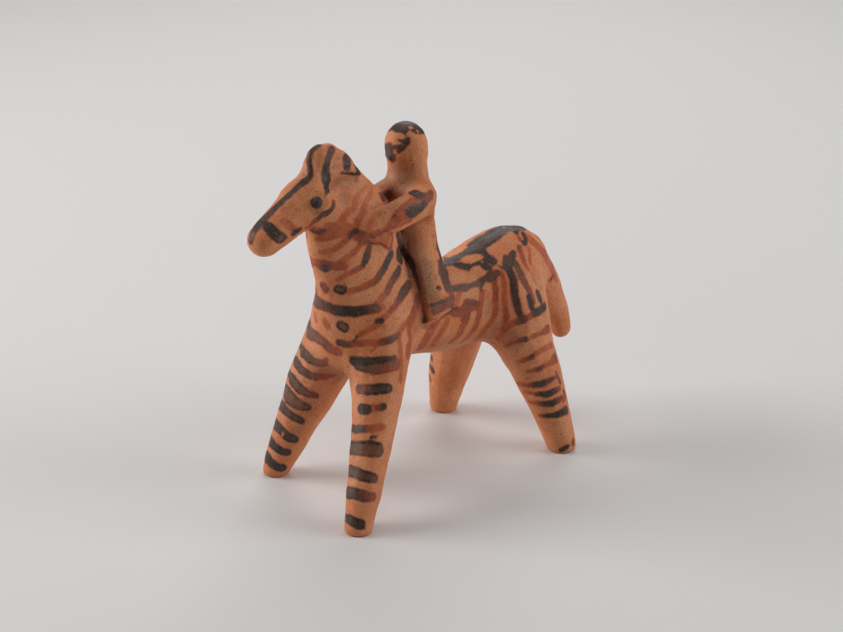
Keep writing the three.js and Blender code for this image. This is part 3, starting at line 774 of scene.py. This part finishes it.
def round_leg(clay, leg, start, sweep, rise, radius, tone):
    """A track that runs on round a leg from a place on it, turning by the sweep in degrees."""
    hip, foot = (np.array(end) for end in LEG_LINES[leg])
    axis = unit(foot - hip)
    level = hip + axis * ((start - hip) @ axis)
    arm = unit(start - level)
    made = Track()
    steps = max(2, round(abs(sweep) / WRAP_STEP))
    for share in np.linspace(0, 1, steps + 1):
        turn = Matrix.Rotation(math.radians(sweep * share), 3, Vector(axis))
        outward = np.array(turn @ Vector(arm))
        middle = level - axis * rise * share
        found = clay.hit(middle + outward * LEG_REACH, -outward)
        if found is None:
            continue
        place, normal = found
        if normal @ outward > 0.2:
            made.add(place, normal, spread(radius, share), spread(tone, share))
    return made


def wrap_bars(clay, paint, strokes, leg, sweep, rise, tone):
    """Carries each bar on round its leg, past the edge that the photograph shows."""
    for number, stroke in enumerate(strokes):
        found = clay.at_pixel(inward(stroke.points), 1)
        if found is None:
            continue
        place, _, scale = found
        width = spread(stroke.width, 0) * scale / 2
        turn = sweep * (0.85 + 0.3 * noise.noise(Vector((number * 3.7, sweep, 0.5))))
        track = round_leg(clay, leg, place, turn, rise, (width, width, width * 0.6), tone)
        if len(track.places) > 1:
            paint.follow(clay, track, stroke.pool)


def inward(points):
    """A pixel a little way in from a stroke's first end, so that it lies on the skin."""
    first, second = np.array(points[0], float), np.array(points[1], float)
    return first + (second - first) * 0.15


def shifted(stroke, number):
    """A stroke moved a little, for the far side, which no brush repeats exactly."""
    shift = [FAR_SIDE_SHIFT * noise.noise(Vector((number * 1.7, axis * 5.1, 2.3))) for axis in (0, 1)]
    points = [(x + shift[0], y + shift[1]) for x, y in stroke.points]
    return stroke._replace(points=points)


def paint_figure(clay):
    """All the brushwork."""
    paint = Paint(len(clay.points))
    near_side = [*HEAD_SIDE, *NECK, *FLANK, *HAUNCH, *TAIL, *RIDER]
    for stroke in [*HEAD_MIDDLE, *near_side, *CHEST, *BACK, *FRONT_LEFT_LEG, *FRONT_LEFT_SHIN, *FRONT_RIGHT_LEG,
                   *HIND_LEFT_LEG, *HIND_RIGHT_LEG, *FOOT_SPOT]:
        paint.brush(clay, stroke)
    for number, stroke in enumerate([*near_side, *CHEST, *HIND_LEFT_LEG]):
        paint.brush(clay, shifted(stroke, number), -1, hidden_only=True)
    wrap_bars(clay, paint, FRONT_RIGHT_LEG, "front_right", 120, 1.5, (0.9, 0.8, 0.5))
    wrap_bars(clay, paint, FRONT_LEFT_SHIN, "front_left", 45, 0.5, (0.9, 0.7))
    for patch in [*HEAD_PATCHES, *NECK_PATCHES, *BACK_PATCHES, *RIDER_PATCHES, *FACE_PATCHES, *SHIN_PATCHES]:
        paint.fill(clay, patch)
    for patch in [*HEAD_PATCHES, *NECK_PATCHES, *RIDER_PATCHES, FACE_PATCHES[0]]:
        paint.fill(clay, patch, -1)
    for spots in CHIPS.values():
        for x, y, radius in spots:
            paint.chip(clay, x, y, radius)
    return paint


def press(clay, grooves):
    """Presses creases, thumb marks or pits into the clay."""
    push = np.zeros(len(clay.points))
    for groove in grooves:
        wide = 2 * np.array(groove.width)
        track = trace(clay, groove.points, wide, groove.depth, slant_limit=1)
        if track.places:
            where, _, distance, depth = track.near(clay, 0)
            push[where] -= depth * np.clip(1 - distance**2, 0, 1) ** 2
    clay.points += clay.normals * push[:, None]
    clay.refresh()


# Unevenness left by hands: how far apart the swellings are and how high, in mm
UNEVENNESS = ((11, 0.28), (5, 0.15), (2.2, 0.06))


def knead(clay):
    """Gives the skin the gentle unevenness of clay rolled and pressed by hand."""
    rise = np.zeros(len(clay.points))
    for number, (spacing, height) in enumerate(UNEVENNESS):
        shift = Vector((7.3 * number, 1.9, 4.4))
        swell = [noise.noise(Vector(point / spacing) + shift) for point in clay.points]
        rise += height * np.array(swell)
    clay.points += clay.normals * rise[:, None]


def stand_on_ground(clay):
    """Keeps the soles flat on the ground."""
    clay.points[:, 2] = np.maximum(clay.points[:, 2], 0)


SHELTER_RAYS = 10
SHELTER_REACH = 9


def shelter(clay):
    """How much of the sky over each vertex is blocked nearby, from 0 to 1."""
    golden = math.pi * (3 - math.sqrt(5))
    blocked = np.zeros(len(clay.points))
    for number in range(SHELTER_RAYS):
        height = 1 - (number + 0.5) / SHELTER_RAYS
        radius = math.sqrt(1 - height * height)
        angle = golden * number
        spoke = np.array([radius * math.cos(angle), radius * math.sin(angle), height])
        aim = clay.normals * 0.55 + spoke * np.sign((clay.normals @ spoke) + 1e-9)[:, None]
        aim /= np.linalg.norm(aim, axis=1)[:, None]
        starts = clay.points + clay.normals * 0.35
        cast = clay.tree.ray_cast
        for index, (start, direction) in enumerate(zip(starts.tolist(), aim.tolist())):
            if cast(start, direction, SHELTER_REACH)[0] is not None:
                blocked[index] += 1
    return blocked / SHELTER_RAYS


def tinted(clay, tints):
    """How much of one list of soft tints each vertex holds: the painted shade with grime, and the pale bloom with
    painted light.
    """
    held = np.zeros(len(clay.points))
    for tint in tints:
        for side in (1, -1):
            track = trace(clay, tint.points, tint.width * TINT_FADE, 0, side, hidden_only=side < 0)
            if track.places:
                where, _, distance, _ = track.near(clay, 0)
                held[where] = np.maximum(held[where], tint.strength * np.clip(1 - distance**2, 0, 1))
    return held


def remeshed(mesh):
    """A fine even mesh of the same shape."""
    source = bpy.data.objects.new("fine_clay", mesh.copy())
    bpy.context.scene.collection.objects.link(source)
    remesh = source.modifiers.new("remesh", "REMESH")
    remesh.mode = "VOXEL"
    remesh.voxel_size = VOXEL * MM
    bpy.context.view_layer.update()
    evaluated = source.evaluated_get(bpy.context.evaluated_depsgraph_get())
    mesh = bpy.data.meshes.new_from_object(evaluated)
    bpy.data.objects.remove(source)
    return mesh


def store(mesh, name, values):
    """Keeps one number for each vertex, for the material."""
    mesh.attributes.new(name, "FLOAT", "POINT").data.foreach_set("value", values.astype(np.float32))


def figurine():
    """The whole clay piece, modelled and with its paint, painted shade and grime, and hollows stored on its
    vertices.
    """
    rough = Clay(remeshed(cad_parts[NODE].data))
    rough.soften(SOFTEN_ROUNDS)
    press(rough, DEEP_GROOVES)
    mesh = remeshed(rough.mesh)
    clay = Clay(mesh)
    clay.soften(TOUCH_UP_ROUNDS)
    press(clay, GROOVES)
    press(clay, PITS)
    knead(clay)
    stand_on_ground(clay)
    clay.refresh()
    paint = paint_figure(clay)
    store(mesh, "edge", paint.edge)
    store(mesh, "tone", paint.tone)
    store(mesh, "pool", paint.pool)
    store(mesh, "shade_and_grime", tinted(clay, SHELTER_SHADE_AND_GRIME))
    store(mesh, "bloom_and_light", tinted(clay, BLOOMS_AND_LIGHT))
    store(mesh, "shelter", shelter(clay))
    store(mesh, "hollow", clay.hollowness(8))
    mesh.polygons.foreach_set("use_smooth", np.ones(len(mesh.polygons), bool))
    mesh.materials.clear()
    mesh.materials.append(clay_material())
    piece = bpy.data.objects.new("clay_horse_and_rider", mesh)
    bpy.context.scene.collection.objects.link(piece)
    return piece


def linear(red, green, blue):
    """A colour given as it looks on screen, 0 to 255, as the shader takes it."""
    shares = (value / 255 for value in (red, green, blue))
    return (*(s / 12.92 if s <= 0.04045 else ((s + 0.055) / 1.055) ** 2.4 for s in shares), 1)


class Nodes:
    """Adds shader nodes to a material and links them."""

    def __init__(self, material):
        material.use_nodes = True
        self.tree = material.node_tree
        self.tree.nodes.clear()

    def add(self, kind, inputs=None, **settings):
        node = self.tree.nodes.new(kind)
        for name, value in settings.items():
            setattr(node, name, value)
        for name, value in (inputs or {}).items():
            if isinstance(value, bpy.types.NodeSocket):
                self.tree.links.new(value, node.inputs[name])
            else:
                node.inputs[name].default_value = value
        return node

    def math(self, operation, first, second=0.0, clamp=False):
        node = self.add("ShaderNodeMath", {0: first, 1: second}, operation=operation, use_clamp=clamp)
        return node.outputs[0]

    def attribute(self, name):
        return self.add("ShaderNodeAttribute", attribute_name=name).outputs["Fac"]

    def texture(self, place, per_mm, detail=2.0, roughness=0.5):
        """Noise from 0 to 1 with this many swellings a millimetre."""
        inputs = {"Vector": place, "Scale": per_mm, "Detail": detail, "Roughness": roughness}
        return self.add("ShaderNodeTexNoise", inputs).outputs["Fac"]

    def between(self, value, low, high, bottom=0.0, top=1.0):
        """Rises smoothly from bottom to top as the value goes from low to high."""
        inputs = {"Value": value, "From Min": low, "From Max": high, "To Min": bottom, "To Max": top}
        return self.add("ShaderNodeMapRange", inputs, interpolation_type="SMOOTHSTEP").outputs[0]

    def mix(self, share, first, second):
        node = self.add("ShaderNodeMix", data_type="RGBA")
        for socket, value in zip((node.inputs[0], node.inputs[6], node.inputs[7]), (share, first, second)):
            if isinstance(value, bpy.types.NodeSocket):
                self.tree.links.new(value, socket)
            else:
                socket.default_value = value
        return node.outputs[2]

    def ramp(self, value, stops):
        node = self.add("ShaderNodeValToRGB", {"Fac": value})
        elements = node.color_ramp.elements
        elements[0].position, elements[0].color = stops[0]
        elements[1].position, elements[1].color = stops[-1]
        for position, color in stops[1:-1]:
            elements.new(position).color = color
        return node.outputs["Color"]


# Clay and slip as they look in even white light
CLAY_ORANGE = linear(208, 124, 75)
CLAY_PALE = linear(221, 144, 97)
CLAY_RED = linear(190, 104, 58)
SAND_DARK = linear(152, 88, 52)
SAND_PALE = linear(232, 166, 122)
DUST_TAN = linear(204, 150, 112)
# Brown of the painted shade in hollows and sheltered places, and of the grime there
SHADE_AND_GRIME_BROWN = linear(114, 77, 55)
# Pale bloom, also painted light on the rider's belly
BLOOM_AND_LIGHT_PALE = linear(176, 142, 120)
WASH_BROWN = linear(148, 88, 56)
SLIP_STOPS = (
    (0.0, linear(206, 116, 66)),
    (0.3, linear(184, 85, 47)),
    (0.45, linear(154, 72, 44)),
    (0.6, linear(118, 66, 48)),
    (0.8, linear(74, 54, 44)),
    (1.0, linear(42, 36, 30)),
)
SCUFF_PALE = linear(158, 118, 96)
SPECK_DARK = linear(60, 42, 32)
FLECK_PALE = linear(232, 196, 160)
CLAY_SHINE = 0.38


def clay_colour(nodes, place):
    """Fired clay: orange with paler and redder clouds, brown painted shade in hollows and sheltered places with
    some grime, dark specks and pale flecks.
    """
    clouds = nodes.texture(place, 0.09, 3)
    dust = nodes.texture(place, 0.2, 4, 0.65)
    mottle = nodes.texture(place, 0.45, 4, 0.6)
    grain = nodes.texture(place, 1.8, 4, 0.7)
    base = nodes.mix(nodes.between(clouds, 0.35, 0.65), CLAY_ORANGE, CLAY_PALE)
    base = nodes.mix(nodes.between(mottle, 0.45, 0.75, 0, 0.6), base, CLAY_RED)
    base = nodes.mix(nodes.between(dust, 0.5, 0.72, 0, 0.55), base, DUST_TAN)
    base = nodes.mix(nodes.between(grain, 0.52, 0.7, 0, 0.65), base, CLAY_RED)
    base = nodes.mix(nodes.between(grain, 0.46, 0.3, 0, 0.5), base, CLAY_PALE)
    sand = nodes.texture(place, 2.6, 3, 0.6)
    base = nodes.mix(nodes.between(sand, 0.5, 0.68, 0, 0.4), base, SAND_DARK)
    base = nodes.mix(nodes.between(sand, 0.48, 0.32, 0, 0.45), base, SAND_PALE)
    # Painted shade: brown laid into hollows, where nearby clay blocks the sky, and along the rubbed tints, which
    # also carry some real grime
    hollow = nodes.between(nodes.attribute("hollow"), 0.0, 0.16, 0, 0.6)
    blocked = nodes.between(nodes.attribute("shelter"), 0.25, 0.8, 0, 0.6)
    shade_and_grime_mask = nodes.math("MAXIMUM", nodes.math("MAXIMUM", hollow, blocked), nodes.attribute("shade_and_grime"))
    patchy = nodes.math("MULTIPLY", shade_and_grime_mask, nodes.between(grain, 0.35, 0.62, 0.5, 1))
    base = nodes.mix(nodes.math("MULTIPLY", patchy, 0.8, True), base, SHADE_AND_GRIME_BROWN)
    # Pale bloom, which on the rider's belly is also painted light that lifts the shade there
    bloom_and_light = nodes.math("MULTIPLY", nodes.attribute("bloom_and_light"), nodes.between(grain, 0.4, 0.6, 0.3, 1))
    base = nodes.mix(bloom_and_light, base, BLOOM_AND_LIGHT_PALE)
    specks = nodes.add("ShaderNodeTexVoronoi", {"Vector": place, "Scale": SPECKS_A_MM})
    lottery = nodes.add("ShaderNodeSeparateColor", {"Color": specks.outputs["Color"]}).outputs
    chance = nodes.between(shade_and_grime_mask, 0, 0.7, SPECK_CHANCE, SPECK_CHANCE_IN_SHADE_AND_GRIME)
    chosen = nodes.math("LESS_THAN", lottery["Red"], chance)
    size = nodes.between(lottery["Green"], 0, 1, 0.1, 0.34)
    dot = nodes.math("LESS_THAN", specks.outputs["Distance"], size)
    base = nodes.mix(nodes.math("MULTIPLY", nodes.math("MULTIPLY", chosen, dot), 0.6), base, SPECK_DARK)
    pale = nodes.math("GREATER_THAN", lottery["Blue"], 0.985)
    pale_dot = nodes.math("LESS_THAN", specks.outputs["Distance"], 0.2)
    return nodes.mix(nodes.math("MULTIPLY", nodes.math("MULTIPLY", pale, pale_dot), 0.8), base, FLECK_PALE)


def slip_cover(nodes, place):
    """How fully the slip covers, and its colour: red where it is thin, black where it is thick."""
    wobble = nodes.texture(place, 0.5, 3, 0.55)
    fuzz = nodes.texture(place, 3.0, 3, 0.6)
    edge = nodes.math("ADD", nodes.attribute("edge"), nodes.between(wobble, 0.2, 0.8, -0.2, 0.2))
    edge = nodes.math("ADD", edge, nodes.between(fuzz, 0.25, 0.75, -0.12, 0.12))
    cover = nodes.between(edge, 0.42, -0.2)
    rising = nodes.between(edge, 0.14, -0.42, 0.46, 1)
    pooled = nodes.between(edge, 0.12, -0.3, 0.5, 1.08)
    sinking = nodes.between(edge, -0.5, -1.1)
    pool = nodes.attribute("pool")
    profile = nodes.add("ShaderNodeMix", {0: pool, 2: rising, 3: pooled}).outputs[0]
    brushing = nodes.between(nodes.texture(place, 0.7, 4, 0.65), 0.3, 0.7, -0.12, 0.12)
    tone = nodes.math("ADD", nodes.math("MULTIPLY", nodes.attribute("tone"), profile), brushing)
    middle = nodes.math("MULTIPLY", nodes.math("MULTIPLY", pool, sinking), 0.42, True)
    colour = nodes.mix(middle, nodes.ramp(tone, SLIP_STOPS), WASH_BROWN)
    scuffs = nodes.texture(place, 2.4, 3, 0.65)
    colour = nodes.mix(nodes.between(scuffs, 0.52, 0.72, 0, 0.4), colour, SCUFF_PALE)
    thin = nodes.between(nodes.attribute("tone"), 0.1, 0.45, 0.75, 1)
    worn = nodes.between(nodes.texture(place, 1.8, 4, 0.7), 0.6, 0.7, 1, 0.35)
    cover = nodes.math("MULTIPLY", nodes.math("MULTIPLY", cover, thin), worn)
    return cover, colour, tone


def clay_material():
    """Matt fired clay under brushed slip that is a little glossier where it is dark."""
    material = bpy.data.materials.new("painted_terracotta")
    nodes = Nodes(material)
    coordinates = nodes.add("ShaderNodeTexCoord").outputs["Object"]
    place = nodes.add("ShaderNodeVectorMath", {0: coordinates, 3: 1 / MM}, operation="SCALE").outputs[0]
    clay = clay_colour(nodes, place)
    cover, slip, tone = slip_cover(nodes, place)
    colour = nodes.mix(cover, clay, slip)
    gloss = nodes.math("MULTIPLY", cover, nodes.between(tone, 0.3, 0.9))
    grain = nodes.texture(place, 5, 4, 0.65)
    matt = nodes.between(grain, 0.3, 0.7, 0.52, 0.66)
    roughness = nodes.math("SUBTRACT", matt, nodes.math("MULTIPLY", gloss, 0.1))
    lumps = nodes.texture(place, 1.1, 4, 0.6)
    relief = nodes.math("ADD", nodes.math("MULTIPLY", grain, 0.05), nodes.math("MULTIPLY", lumps, 0.1))
    relief = nodes.math("ADD", relief, nodes.math("MULTIPLY", cover, 0.02))
    bump = nodes.add("ShaderNodeBump", {"Height": relief, "Strength": 0.6, "Distance": MM})
    shader = nodes.add("ShaderNodeBsdfPrincipled", {
        "Base Color": colour, "Roughness": roughness, "Normal": bump.outputs[0],
        "Specular IOR Level": CLAY_SHINE})
    nodes.add("ShaderNodeOutputMaterial", {"Surface": shader.outputs[0]})
    return material


FLOOR_SIZE = 4000
FLOOR_COLOUR = linear(222, 220, 219)


def make_floor():
    """A plain pale floor that fills the view."""
    bpy.ops.mesh.primitive_plane_add(size=FLOOR_SIZE * MM)
    floor = bpy.context.object
    floor.name = "floor"
    material = bpy.data.materials.new("pale_floor")
    nodes = Nodes(material)
    shader = nodes.add("ShaderNodeBsdfPrincipled", {"Base Color": FLOOR_COLOUR, "Roughness": 0.8})
    shader.inputs["Specular IOR Level"].default_value = 0.1
    nodes.add("ShaderNodeOutputMaterial", {"Surface": shader.outputs[0]})
    floor.data.materials.append(material)


def add_light(name, place, aim, size, power, colour=(1, 1, 1)):
    """A square soft light at a place, turned towards its aim."""
    data = bpy.data.lights.new(name, "AREA")
    data.size = size * MM
    data.energy = power
    data.color = colour
    light = bpy.data.objects.new(name, data)
    light.location = Vector(place) * MM
    light.rotation_euler = (Vector(aim) - Vector(place)).to_track_quat("-Z", "Y").to_euler()
    bpy.context.scene.collection.objects.link(light)


def light_scene():
    """Soft light from both sides of the picture, with some from above and behind."""
    world = bpy.data.worlds.new("studio")
    world.use_nodes = True
    background = world.node_tree.nodes["Background"]
    background.inputs["Color"].default_value = (1, 0.985, 0.97, 1)
    background.inputs["Strength"].default_value = 0.08
    bpy.context.scene.world = world
    add_light("top", (0, 0, 900), (0, 0, 40), 700, 1.9)
    add_light("left", (-650, -600, 450), (0, 0, 40), 600, 6.4)
    add_light("right", (700, 650, 450), (0, 0, 40), 600, 4.3)
    add_light("behind", (-500, 550, 600), (0, 0, 40), 600, 2.6)
    bpy.context.scene.view_settings.view_transform = "Standard"


def place_camera():
    """The photograph's camera."""
    data = bpy.data.cameras.new("camera")
    data.lens = LENS
    data.sensor_width = SENSOR_WIDTH
    camera = bpy.data.objects.new("camera", data)
    camera.location = Vector(CAMERA_PLACE) * MM
    camera.rotation_euler = (math.radians(90 - CAMERA_ELEVATION), 0, math.radians(CAMERA_AZIMUTH))
    bpy.context.scene.collection.objects.link(camera)
    bpy.context.scene.camera = camera


piece = figurine()
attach(piece, "root")
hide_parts(NODE)
make_floor()
light_scene()
place_camera()
